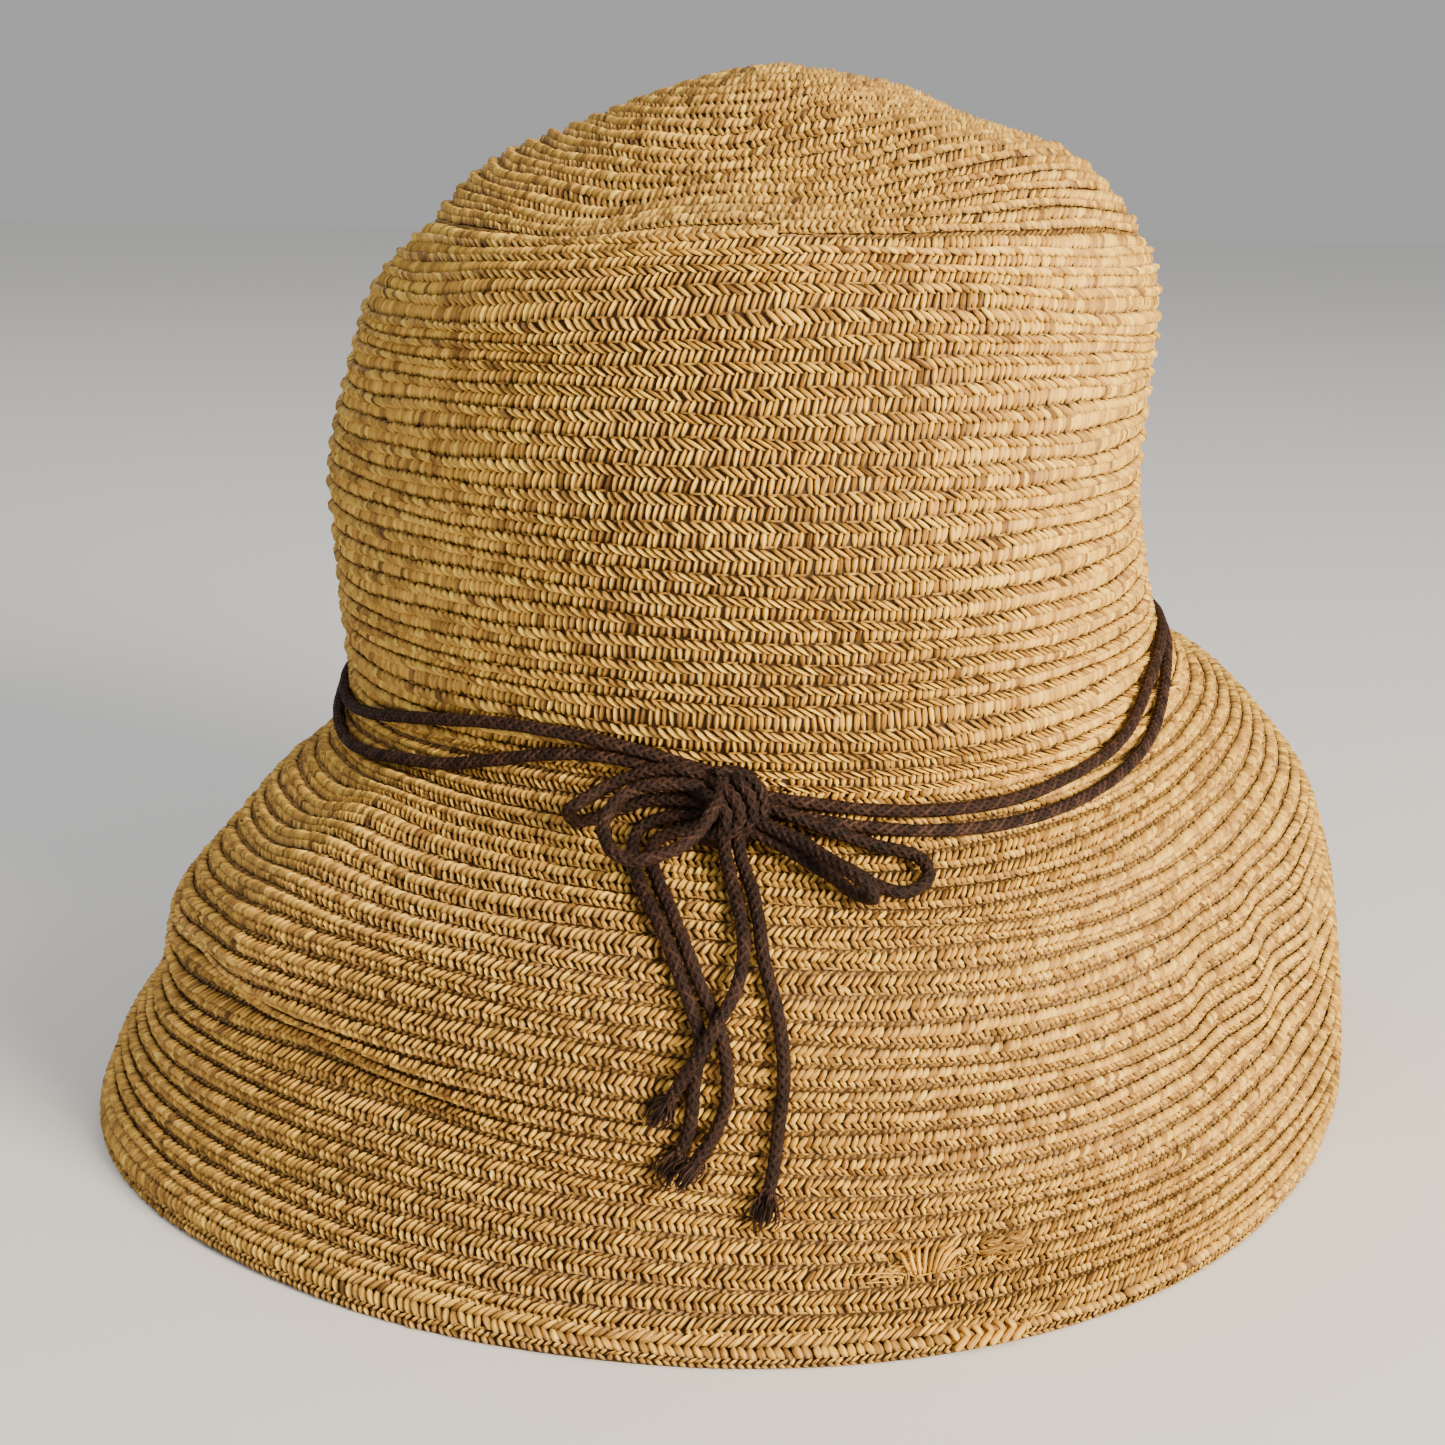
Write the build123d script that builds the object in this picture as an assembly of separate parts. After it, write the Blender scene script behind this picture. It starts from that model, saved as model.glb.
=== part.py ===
from build123d import *
import math
import os

# Straw sun hat: a plaited-straw braid sewn in a spiral into a tall crown and a
# deep, drooping brim, with a waxed cord wound twice round the crown and tied in
# a bow at the front. Millimetres, +Z up. The hat stands on its brim edge at
# z = 0, and the bow faces -Y. Points are measured from the middle of the crown.

# ---- driving dimensions ----------------------------------------------------
WALL = 2.2  # two lapped layers of straw braid
EDGE_HEIGHT = 6.0  # the folded last row that hems the brim
BRIM_CUTS = (28.0, 58.0)  # heights where one length of brim braid ends
CROWN_BASE = 90.0  # where the crown wall turns out into the brim
CROWN_CUTS = (132.0, 184.0)  # ends of the two side lengths of crown braid
BUTTON_RADIUS = 9.0  # the first tight turns at the centre of the crown
WIRE = 1.0  # springy plastic wire inside the hem
WIRE_HEIGHT = 3.0
JOINER_LENGTH = 14.0  # sleeve that joins the two ends of the wire
JOINER = 1.7
SWEATBAND = 0.8  # folded ribbon sewn inside the head opening
SWEATBAND_HEIGHTS = (91.0, 117.0)
SWEATBAND_GAP = 0.4
CORD = 2.4  # waxed cotton cord
CORD_STAND_OFF = 2.7  # from the hat's face to the middle of the cord
KNOT = (13.0, 8.0, 13.0)
KNOT_CENTRE = (-9.5, -91.5, 86.5)
FRAY_LENGTH = 5.0  # unlaid threads at a cut end of the cord
FRAY_WIDTH = 3.6
OUTLINE_MIDDLE = (-4.76, 2.59)  # middle of the brim's outline, which becomes the origin

# ---- the hat block -----------------------------------------------------------
# Rings of the block from the hem up to the button. Each is a circle of a radius
# about a centre (x, y), pulled into an oval and slightly into an egg, tilted
# along X and Y, and bent like a saddle. A turn is the angle of the long way.
# The back is filled out and lifted by the last pair, about the turn given.
RINGS = (
    # height, radius, (x, y), (oval, turn), (egg, turn), (tilt x, y), (saddle, turn), back
    (0.0, 135.0, (-3.5, 2.0), (8.5, 46), (4.5, 50), (0.0, 0.0), (0.0, 0), (6, 0, 125)),
    (13.5, 129.5, (1.5, 7.0), (13.0, 40), (5.5, 50), (0.0, 1.5), (3.5, 40), (12, 3, 125)),
    (27.5, 122.0, (4.5, 7.0), (17.5, 40), (5.5, 50), (1.0, 1.0), (6.5, 40), (19, 5, 125)),
    (43.0, 118.0, (4.0, 3.5), (18.0, 41), (4.5, 50), (1.0, 0.5), (7.0, 40), (20, 6, 125)),
    (57.5, 111.0, (6.0, -0.5), (17.5, 43), (4.5, 50), (1.5, -1.0), (7.0, 43), (19, 6, 125)),
    (71.0, 103.0, (6.0, 2.0), (13.0, 45), (4.0, 48), (2.0, 0.5), (4.5, 43), (13, 4, 125)),
    (80.0, 96.0, (5.5, 6.5), (10.0, 48), (3.0, 46), (2.5, 3.0), (3.0, 47), (9, 2, 125)),
    (89.5, 90.0, (2.5, 7.5), (7.0, 50), (3.0, 45), (0.5, 3.0), (1.5, 62), (4, 0, 125)),
    (103.5, 85.5, (-2.0, 1.0), (5.0, 50), (3.0, 45), (-1.0, 1.0), (1.0, 85), (4, 0, 125)),
    (135.5, 84.0, (-6.0, -2.0), (1.5, 60), (3.5, 43), (-1.0, 0.5), (1.0, -75), (0, 0, 90)),
    (168.5, 78.5, (-4.5, -3.5), (1.0, 0), (0.5, 0), (-0.5, -0.5), (2.0, -70), (0, 0, 90)),
    (183.0, 71.0, (-1.5, -5.5), (1.5, 10), (1.5, 5), (0.5, -1.5), (1.5, -70), (2, 2, 90)),
    (190.5, 57.5, (-0.5, -6.5), (3.0, 0), (1.0, 0), (0.5, -5.5), (5.0, -20), (4, 10, 90)),
    (195.5, 46.0, (-1.0, -7.0), (2.5, 0), (1.0, 0), (-0.5, -7.0), (5.5, -20), (2, 12, 90)),
    (202.0, 35.5, (-1.0, -6.0), (1.5, 0), (1.0, 0), (-0.5, -6.0), (3.0, -20), (0, 9, 90)),
    (207.0, 25.0, (-0.5, -6.0), (1.0, 0), (1.0, 0), (0.0, -5.5), (1.5, -20), (0, 6, 90)),
    (212.0, 13.0, (0.0, -5.0), (0.0, 0), (0.0, 0), (0.0, -2.5), (0.0, 0), (0, 1, 90)),
    (214.0, 4.0, (0.0, -4.0), (0.0, 0), (0.0, 0), (0.0, 0.0), (0.0, 0), (0, 0, 90)),
)
QUARTER_STEPS = 6  # spans of each quarter of a ring


def ring_point(ring, turn):
    """The point of one ring at a turn about its centre."""
    height, radius, centre, oval, egg, tilt, saddle, back = ring
    behind = max(0.0, math.cos(turn - math.radians(back[2]))) ** 4
    long_way = oval[0] * math.cos(2 * (turn - math.radians(oval[1])))
    egg_way = egg[0] * math.cos(3 * turn - 3 * math.radians(egg[1]))
    reach = radius + long_way + egg_way + back[0] * behind
    lift = tilt[0] * math.cos(turn) + tilt[1] * math.sin(turn)
    lift += saddle[0] * math.cos(2 * (turn - math.radians(saddle[1]))) + back[1] * behind
    x = centre[0] + reach * math.cos(turn)
    y = centre[1] + reach * math.sin(turn)
    return Vector(x, y, height + lift)


def face_point(level, turn, depth=0.0):
    """A point of the hat's face between rings, or of a face depth inside it.

    Level counts the rings from the hem, and a fraction lies smoothly between two."""
    index = min(int(level), len(RINGS) - 2)
    t = level - index
    near = [RINGS[min(max(index + step, 0), len(RINGS) - 1)] for step in (-1, 0, 1, 2)]
    p0, p1, p2, p3 = (ring_point(ring, turn) for ring in near)
    if index == 0:
        p0 = p1 * 2 - p2
    if index == len(RINGS) - 2:
        p3 = p2 * 2 - p1
    bend = (p2 - p0) * t + (p0 * 2 - p1 * 5 + p2 * 4 - p3) * t**2
    point = p1 + (bend + (p1 * 3 - p0 - p2 * 3 + p3) * t**3) * 0.5
    if depth == 0:
        return point
    along = p2 - p1 + (p2 - p0) * (1 - t) + (p3 - p1) * t
    out = Vector(-math.sin(turn), math.cos(turn), 0).cross(along).normalized()
    return point - out * depth


def section(level, depth, flat=None):
    """A closed wire round the hat at one level, as four quarters that run on.

    Flat brings the whole wire to one height, for the end of a solid."""

    def place(turn):
        point = face_point(level, turn, depth)
        return point if flat is None else Vector(point.X, point.Y, flat)

    nudge = 1e-3
    quarters = []
    for quarter in range(4):
        turns = [math.pi / 2 * (quarter + i / QUARTER_STEPS) for i in range(QUARTER_STEPS + 1)]
        points = [place(turn) for turn in turns]
        ends = []
        for turn in (turns[0], turns[-1]):
            ends.append(place(turn + nudge) - place(turn - nudge))
        quarters.append(Edge.make_spline(points, tangents=ends))
    return Wire(quarters)


def block(depth):
    """The solid inside the hat's outer face, or inside a face depth within it."""
    last = len(RINGS) - 1
    levels = [i / 2 for i in range(2 * last + 1)]
    wires = [section(level, depth) for level in levels]
    if depth:
        wires[-1] = section(last, depth, flat=RINGS[-1][0] - depth)
        wires.insert(0, section(0, depth, flat=-6.0))
    return Solid.make_loft(wires)


def slab(low, high):
    """A flat slice of space between two heights."""
    return Pos(0, 0, (low + high) / 2) * Box(400, 400, high - low)


def wall_point(turn, height, out):
    """The point at a height on the hat's outer face, moved out from the face."""
    low, high = 0.0, len(RINGS) - 1.0
    for _ in range(40):
        level = (low + high) / 2
        if face_point(level, turn).Z < height:
            low = level
        else:
            high = level
    return tuple(face_point(level, turn, -out))


def tube(points, thickness):
    """A cord along a route of straight runs joined by the largest arcs that fit."""
    stops = [Vector(*p) for p in points]
    radii = []
    for before, here, after in zip(stops, stops[1:], stops[2:]):
        first, second = here - before, after - here
        half_turn = math.radians(first.get_angle(second)) / 2
        radii.append(0.45 * min(first.length, second.length) / math.tan(half_turn))
    path = FilletPolyline(*stops, radius=radii)
    outline = Plane(origin=path @ 0, z_dir=path % 0) * Circle(thickness / 2)
    solid = sweep(outline, path=path)
    ideal = math.pi * thickness**2 / 4 * path.length
    print("  arcs", round(min(radii), 1), "to", round(max(radii), 1), end=", ")
    print("length", round(path.length, 1), "volume", round(solid.volume / ideal, 3))
    return solid


os.makedirs("parts", exist_ok=True)


def save(name, shape):
    """Write one part, moved so that the middle of the brim's outline is the origin."""
    print(name, round(shape.volume))
    placed = Pos(-OUTLINE_MIDDLE[0], -OUTLINE_MIDDLE[1], 0) * shape
    placed.label = name
    export_step(placed, f"parts/{name}.step")


outer = block(0)
inner = block(WALL)
hat = outer - inner

# ---- the braid, one length after another --------------------------------------
button_column = Pos(0, -4, 200) * Cylinder(BUTTON_RADIUS, 60)
tip = hat & slab(CROWN_CUTS[1], 230)
save("crown_button", tip & button_column)
save("crown_tip_braid", tip - button_column)
save("crown_upper_braid", hat & slab(CROWN_CUTS[0], CROWN_CUTS[1]))
save("crown_lower_braid", hat & slab(CROWN_BASE, CROWN_CUTS[0]))
save("brim_inner_braid", hat & slab(BRIM_CUTS[1], CROWN_BASE))
save("brim_middle_braid", hat & slab(BRIM_CUTS[0], BRIM_CUTS[1]))
save("brim_outer_braid", hat & slab(EDGE_HEIGHT, BRIM_CUTS[0]))

# ---- the wired hem -------------------------------------------------------------
# The wire runs round the middle of the hem's wall from one side of the sleeve at
# the back to the other.
WIRE_STOPS = 48
wire_turns = [math.radians(91 + 358 * i / (WIRE_STOPS - 1)) for i in range(WIRE_STOPS)]
wire = tube([wall_point(turn, WIRE_HEIGHT, -WALL / 2) for turn in wire_turns], WIRE)
joint = Vector(*wall_point(math.radians(90), WIRE_HEIGHT, -WALL / 2))
ahead = Vector(*wall_point(math.radians(91), WIRE_HEIGHT, -WALL / 2))
sleeve_place = Plane(origin=joint, z_dir=ahead - joint)
sleeve_space = sleeve_place * Cylinder(JOINER / 2, JOINER_LENGTH)
save("brim_edge_wire", wire)
save("wire_joiner_sleeve", sleeve_space - wire)
save("brim_edge_braid", (hat & slab(0, EDGE_HEIGHT)) - wire - sleeve_space)

# ---- the sweatband ---------------------------------------------------------------
lining_outer = block(WALL + SWEATBAND_GAP)
lining_inner = block(WALL + SWEATBAND_GAP + SWEATBAND)
save("sweatband", (lining_outer - lining_inner) & slab(*SWEATBAND_HEIGHTS))

# ---- where one length of braid is spliced to the next, and where the last ends -----
for number, centre in enumerate(((24.5, -117.6, 13.3), (41.0, -110.6, 13.0)), start=1):
    lump = Pos(*centre) * scale(Sphere(1.0), by=(4.5, 2.4, 3.2))
    save(f"braid_splice_{number}", lump - outer)
end_tab = Pos(38.8, -125.6, 2.7) * Rot(0, 0, 27) * Box(9.5, 3.0, 4.6)
save("braid_end", end_tab - outer)

# ---- the cord round the crown -----------------------------------------------------
# Each turn runs from the knot, round the left side, the back and the right side,
# and into the knot again. A stop is (turn in degrees, height).
UPPER_TURN = (
    (262, 92.0), (255, 95.8), (249, 97.0), (242, 97.2), (235, 96.9), (228, 95.6),
    (220, 93.4), (211, 90.4), (202, 88.0), (192, 88.2), (180, 89.4), (166, 91.2),
    (151, 93.2), (136, 95.3), (121, 97.4), (106, 99.0), (91, 100.4), (76, 101.4),
    (61, 102.1), (46, 102.5), (31, 102.6), (16, 102.2), (3, 101.2), (351, 99.2),
    (340, 94.8), (329, 90.2), (319, 87.0), (309, 84.5), (299, 82.6), (290, 81.8),
    (281, 82.5), (273, 84.5), (266, 86.8),
)
LOWER_TURN = (
    (262, 88.6), (256, 92.2), (250, 93.8), (243, 92.8), (236, 89.0), (228, 85.2),
    (220, 83.2), (212, 81.9), (204, 81.3), (197, 83.2), (190, 85.2), (180, 86.4),
    (166, 88.2), (151, 90.2), (136, 92.3), (121, 94.4), (106, 96.0), (91, 97.4),
    (76, 98.4), (61, 99.1), (46, 99.5), (31, 99.6), (16, 99.1), (3, 97.4),
    (352, 94.6), (342, 90.4), (331, 85.6), (321, 82.2), (311, 79.9), (301, 78.5),
    (292, 78.2), (283, 79.1), (275, 81.0), (267, 83.6),
)
knot = Pos(*KNOT_CENTRE) * scale(Sphere(0.5), by=KNOT)
knot = knot - outer
save("bow_knot", knot)


def round_crown(stops):
    return [wall_point(math.radians(turn), height, CORD_STAND_OFF) for turn, height in stops]


save("cord_turn_upper", tube(round_crown(UPPER_TURN), CORD) - knot - outer)
save("cord_turn_lower", tube(round_crown(LOWER_TURN), CORD) - knot - outer)

# ---- the bow's four loops and four tails ----------------------------------------------
# Loops leave the knot and come back into it. Tails hang down the front of the brim,
# cross each other, and end in frayed threads.
LOOPS = {
    "bow_loop_left_front": (
        (-9.9, -93.7, 92.2), (-10.8, -96.6, 89.0), (-12.9, -100.3, 86.1),
        (-16.1, -104.1, 83.3), (-20.2, -105.6, 81.8), (-24.3, -106.3, 80.6),
        (-28.8, -104.2, 81.0), (-31.1, -99.4, 83.2), (-30.8, -95.3, 86.0),
        (-27.6, -92.6, 89.2), (-21.9, -92.5, 90.9), (-16.6, -93.0, 91.2),
        (-12.4, -91.9, 90.1),
    ),
    "bow_loop_left_back": (
        (-11.9, -90.7, 91.2), (-16.0, -90.3, 93.0), (-21.5, -89.5, 92.9),
        (-27.0, -88.5, 91.0), (-32.2, -89.1, 88.5), (-36.2, -92.0, 86.6),
        (-38.3, -89.4, 84.5), (-36.6, -87.7, 82.1), (-33.2, -87.4, 82.7),
        (-29.3, -87.2, 84.3), (-25.0, -87.8, 86.2), (-20.5, -88.9, 87.2),
        (-15.7, -90.3, 87.4), (-11.2, -91.3, 87.1),
    ),
    "bow_loop_right_front": (
        (-6.3, -94.9, 86.2), (-0.9, -97.0, 84.2), (4.4, -99.4, 82.5),
        (9.3, -103.2, 80.3), (13.4, -106.3, 78.8), (16.9, -108.3, 76.8),
        (18.6, -106.7, 73.7), (17.0, -103.6, 72.7), (13.9, -102.8, 73.9),
        (10.1, -100.6, 76.3), (5.6, -98.5, 78.4), (0.8, -96.4, 80.8),
        (-4.7, -95.4, 83.2),
    ),
    "bow_loop_right_back": (
        (-5.0, -90.8, 87.4), (0.5, -92.3, 86.2), (5.5, -92.5, 84.0),
        (11.7, -92.4, 81.9), (16.9, -92.1, 80.0), (22.0, -91.8, 79.0),
        (25.6, -91.8, 77.9), (27.3, -93.8, 75.8), (26.3, -96.4, 74.2),
        (22.3, -99.2, 73.2), (17.9, -99.0, 74.4), (14.9, -97.5, 75.9),
        (11.1, -96.1, 77.4), (5.9, -95.1, 79.6), (0.9, -93.9, 82.3),
        (-4.5, -93.2, 85.2),
    ),
}
TAILS = {
    "cord_tail_1": (
        (-12.6, -91.6, 85.4), (-17.2, -90.6, 84.6), (-21.8, -90.2, 83.7),
        (-25.7, -91.3, 81.8), (-26.1, -96.7, 78.5), (-23.9, -104.6, 74.7),
        (-20.0, -111.2, 70.3), (-17.4, -116.0, 64.7), (-14.8, -118.4, 58.5),
        (-12.9, -119.0, 53.0), (-14.1, -119.1, 45.7), (-14.5, -118.8, 38.8),
        (-15.3, -118.7, 34.0), (-17.1, -119.2, 31.2),
    ),
    "cord_tail_2": (
        (-12.1, -92.7, 84.3), (-16.7, -93.1, 82.6), (-20.8, -93.3, 81.5),
        (-23.0, -95.3, 79.7), (-21.9, -100.7, 77.1), (-19.3, -107.4, 73.6),
        (-16.0, -113.9, 68.0), (-13.5, -117.4, 62.3), (-10.3, -118.8, 56.5),
        (-8.9, -119.2, 50.7), (-8.1, -119.0, 44.2), (-9.2, -118.8, 38.3),
        (-11.7, -119.9, 33.7), (-14.3, -121.3, 30.4),
    ),
    "cord_tail_3": (
        (-9.8, -95.7, 83.3), (-9.5, -99.3, 79.7), (-8.0, -104.2, 75.9),
        (-6.5, -110.2, 71.7), (-5.8, -114.9, 67.4), (-7.0, -118.8, 62.0),
        (-10.3, -121.4, 56.9), (-13.3, -122.2, 51.3), (-15.9, -120.8, 46.8),
        (-19.0, -119.5, 40.9),
    ),
    "cord_tail_4": (
        (-7.2, -95.9, 83.3), (-6.9, -99.5, 79.6), (-4.7, -104.2, 75.7),
        (-3.4, -110.0, 71.3), (-2.7, -114.5, 65.8), (-0.6, -116.8, 59.8),
        (0.9, -117.8, 52.4), (1.4, -117.7, 44.1), (0.4, -117.5, 35.7),
        (-0.1, -118.1, 27.5), (-1.9, -120.9, 21.3),
    ),
}
for name, stops in LOOPS.items():
    save(name, tube(stops, CORD) - knot)
for name, stops in TAILS.items():
    save(name, tube(stops, CORD) - knot)
    end, before = Vector(*stops[-1]), Vector(*stops[-2])
    tuft = Cone(CORD / 2, FRAY_WIDTH / 2, FRAY_LENGTH)
    centre = end + (end - before).normalized() * (FRAY_LENGTH / 2)
    tuft = Plane(origin=centre, z_dir=end - before) * tuft
    save(name.replace("cord_tail", "tail_fray"), tuft)
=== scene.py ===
import math

import bpy
import numpy as np
from mathutils import Matrix, Vector


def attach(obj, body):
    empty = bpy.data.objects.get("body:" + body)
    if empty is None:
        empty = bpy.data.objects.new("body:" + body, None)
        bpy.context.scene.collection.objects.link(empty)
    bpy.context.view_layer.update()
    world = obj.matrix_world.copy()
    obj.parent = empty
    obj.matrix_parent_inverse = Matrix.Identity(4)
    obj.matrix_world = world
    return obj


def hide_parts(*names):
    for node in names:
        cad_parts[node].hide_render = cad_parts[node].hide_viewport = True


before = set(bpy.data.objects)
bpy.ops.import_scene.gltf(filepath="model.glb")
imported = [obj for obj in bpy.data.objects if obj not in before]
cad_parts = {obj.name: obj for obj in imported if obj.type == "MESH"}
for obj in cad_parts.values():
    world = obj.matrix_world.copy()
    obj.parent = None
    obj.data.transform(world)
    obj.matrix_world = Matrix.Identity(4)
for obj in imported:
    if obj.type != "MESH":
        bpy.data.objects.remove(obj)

# A straw sun hat of plaited braid sewn in a spiral, with a waxed cord tied in a bow.
# Lengths are in millimetres until a mesh is made, and points are measured from the
# middle of the crown, which stands this far from the middle of the brim's outline.
MM = 0.001
CROWN_MIDDLE = np.array([4.76, -2.59, 0.0])
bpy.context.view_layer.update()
rng = np.random.default_rng(7)

# ---- camera --------------------------------------------------------------------------
# A short telephoto at the height of the crown's top, half a metre from the hat. It looks
# down a little, and leans by about a degree.
LENS, SENSOR = 60.31, 36.0
CAMERA_PLACE = (-0.00554, -0.50979, 0.206)
CAMERA_TILT, CAMERA_ROLL = math.radians(75.96), 0.0161
camera = bpy.data.objects.new("camera", bpy.data.cameras.new("camera"))
bpy.context.scene.collection.objects.link(camera)
camera.data.lens = LENS
camera.data.sensor_width = SENSOR
tilt = Matrix.Rotation(CAMERA_TILT, 4, "X")
roll = Matrix.Rotation(CAMERA_ROLL, 4, "Z")
camera.matrix_world = Matrix.Translation(CAMERA_PLACE) @ tilt @ roll
bpy.context.scene.camera = camera

# ---- bow loops and tails -------------------------------------------------------------
# Four loops and four tails of 2.4 mm waxed cotton cord: eight threads braided over a
# core, dyed dark brown. Each route follows its solid's, but the tip of the front right
# loop and the end of the fourth tail lie 2 to 3 mm from theirs.
CORD = 2.4
CORE_RADIUS = CORD * 0.42
# The threads lie this far out, wind once round in THREAD_TURN mm of cord, and weave in and
# out. Where a tail is cut off, its own finer threads stand out in a tuft.
THREADS = 8
THREAD_REACH = CORD * 0.36
THREAD_RADIUS = 0.42
THREAD_TURN = 7.5
THREAD_WEAVE = 0.08
TUFT_LENGTH = 5.0
TUFT_THREADS = 60
LOOPS = {
    "bow_loop_left_front": (
        (-9.9, -93.7, 92.2), (-10.8, -96.6, 89.0), (-12.9, -100.3, 86.1),
        (-16.1, -104.1, 83.3), (-20.2, -105.6, 81.8), (-24.3, -106.3, 80.6),
        (-28.8, -104.2, 81.0), (-31.1, -99.4, 83.2), (-30.8, -95.3, 86.0),
        (-27.6, -92.6, 89.2), (-21.9, -92.5, 90.9), (-16.6, -93.0, 91.2),
        (-12.4, -91.9, 90.1),
    ),
    "bow_loop_left_back": (
        (-11.9, -90.7, 91.2), (-16.0, -90.3, 93.0), (-21.5, -89.5, 92.9),
        (-27.0, -88.5, 91.0), (-32.2, -89.1, 88.5), (-36.2, -92.0, 86.6),
        (-38.3, -89.4, 84.5), (-36.6, -87.7, 82.1), (-33.2, -87.4, 82.7),
        (-29.3, -87.2, 84.3), (-25.0, -87.8, 86.2), (-20.5, -88.9, 87.2),
        (-15.7, -90.3, 87.4), (-11.2, -91.3, 87.1),
    ),
    "bow_loop_right_front": (
        (-6.3, -94.9, 86.2), (-0.9, -97.0, 84.2), (4.4, -99.4, 82.5),
        (9.3, -103.2, 80.3), (11.8, -105.7, 79.6), (15.2, -107.9, 77.8),
        (16.9, -106.3, 74.6), (15.3, -103.0, 73.5), (12.4, -102.2, 74.7),
        (10.1, -100.6, 76.3), (5.6, -98.5, 78.4), (0.8, -96.4, 80.8),
        (-4.7, -95.4, 83.2),
    ),
    "bow_loop_right_back": (
        (-5.0, -90.8, 87.4), (0.5, -92.3, 86.2), (5.5, -92.5, 84.0),
        (11.7, -92.4, 81.9), (16.9, -92.1, 80.0), (22.0, -91.8, 79.0),
        (25.6, -91.8, 77.9), (27.3, -93.8, 75.8), (26.3, -96.4, 74.2),
        (22.3, -99.2, 73.2), (17.9, -99.0, 74.4), (14.9, -97.5, 75.9),
        (11.1, -96.1, 77.4), (5.9, -95.1, 79.6), (0.9, -93.9, 82.3),
        (-4.5, -93.2, 85.2),
    ),
}
TAILS = {
    "cord_tail_1": (
        (-12.6, -91.6, 85.4), (-17.2, -90.6, 84.6), (-21.8, -90.2, 83.7),
        (-25.7, -91.3, 81.8), (-26.1, -96.7, 78.5), (-23.9, -104.6, 74.7),
        (-20.0, -111.2, 70.3), (-17.4, -116.0, 64.7), (-14.8, -118.4, 58.5),
        (-12.9, -119.0, 53.0), (-14.1, -119.1, 45.7), (-14.5, -118.8, 38.8),
        (-15.3, -118.7, 34.0), (-17.1, -119.2, 31.2),
    ),
    "cord_tail_2": (
        (-12.1, -92.7, 84.3), (-16.7, -93.1, 82.6), (-20.8, -93.3, 81.5),
        (-23.0, -95.3, 79.7), (-21.9, -100.7, 77.1), (-19.3, -107.4, 73.6),
        (-16.0, -113.9, 68.0), (-13.5, -117.4, 62.3), (-10.3, -118.8, 56.5),
        (-8.9, -119.2, 50.7), (-8.1, -119.0, 44.2), (-9.2, -118.8, 38.3),
        (-11.7, -119.9, 33.7), (-14.3, -121.3, 30.4),
    ),
    "cord_tail_3": (
        (-9.8, -95.7, 83.3), (-9.5, -99.3, 79.7), (-8.0, -104.2, 75.9),
        (-6.5, -110.2, 71.7), (-5.8, -114.9, 67.4), (-7.0, -118.8, 62.0),
        (-10.3, -121.4, 56.9), (-13.3, -122.2, 51.3), (-15.9, -120.8, 46.8),
        (-19.0, -119.5, 40.9),
    ),
    "cord_tail_4": (
        (-7.2, -95.9, 83.3), (-6.9, -99.5, 79.6), (-4.7, -104.2, 75.7),
        (-3.4, -110.0, 71.3), (-2.7, -114.5, 65.8), (-0.6, -116.8, 59.8),
        (0.9, -117.8, 52.4), (1.4, -117.7, 44.1), (0.4, -117.5, 35.7),
        (-0.1, -118.1, 28.5), (-1.4, -120.0, 23.6),
    ),
}


def colour(code):
    """A colour written in hexadecimal sRGB, as linear RGBA."""
    parts = [int(code[i : i + 2], 16) / 255 for i in (1, 3, 5)]
    return [p / 12.92 if p < 0.04045 else ((p + 0.055) / 1.055) ** 2.4 for p in parts] + [1.0]


def add_node(tree, kind, inputs=None, **settings):
    """A shader node, with its settings, and inputs that are values or other sockets."""
    made = tree.nodes.new(kind)
    for name, value in settings.items():
        setattr(made, name, value)
    for name, value in (inputs or {}).items():
        if isinstance(value, bpy.types.NodeSocket):
            tree.links.new(value, made.inputs[name])
        else:
            made.inputs[name].default_value = value
    return made


def new_material(name, roughness, specular=0.5):
    """A material, its node tree and its shader."""
    made = bpy.data.materials.new(name)
    made.use_nodes = True
    shader = made.node_tree.nodes["Principled BSDF"]
    shader.inputs["Roughness"].default_value = roughness
    shader.inputs["Specular IOR Level"].default_value = specular
    return made, made.node_tree, shader


def attribute(tree, name):
    """The value that the mesh carries under this name."""
    return add_node(tree, "ShaderNodeAttribute", attribute_name=name).outputs["Fac"]


def object_place(tree):
    """The place on the object, in metres."""
    return add_node(tree, "ShaderNodeTexCoord").outputs["Object"]


def noise(tree, scale, detail=2.0):
    """Cloudy values over the object."""
    inputs = {"Vector": object_place(tree), "Scale": scale, "Detail": detail}
    return add_node(tree, "ShaderNodeTexNoise", inputs).outputs["Fac"]


def arithmetic(tree, operation, *values):
    """The result of one step of arithmetic on values or sockets."""
    made = add_node(tree, "ShaderNodeMath", dict(enumerate(values)), operation=operation)
    return made.outputs[0]


def roughen(tree, shader, height, strength, distance):
    """Raise the shader's surface by a height in metres, without moving the mesh."""
    inputs = {"Height": height, "Strength": strength, "Distance": distance}
    bump = add_node(tree, "ShaderNodeBump", inputs)
    tree.links.new(bump.outputs["Normal"], shader.inputs["Normal"])


def ramp(tree, fac, stops):
    """A colour ramp with stops of (position, hexadecimal colour)."""
    made = add_node(tree, "ShaderNodeValToRGB", {"Fac": fac})
    for i, (position, code) in enumerate(stops):
        stop = made.color_ramp.elements[i] if i < 2 else made.color_ramp.elements.new(position)
        stop.position = position
        stop.color = colour(code)
    return made.outputs["Color"]


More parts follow.
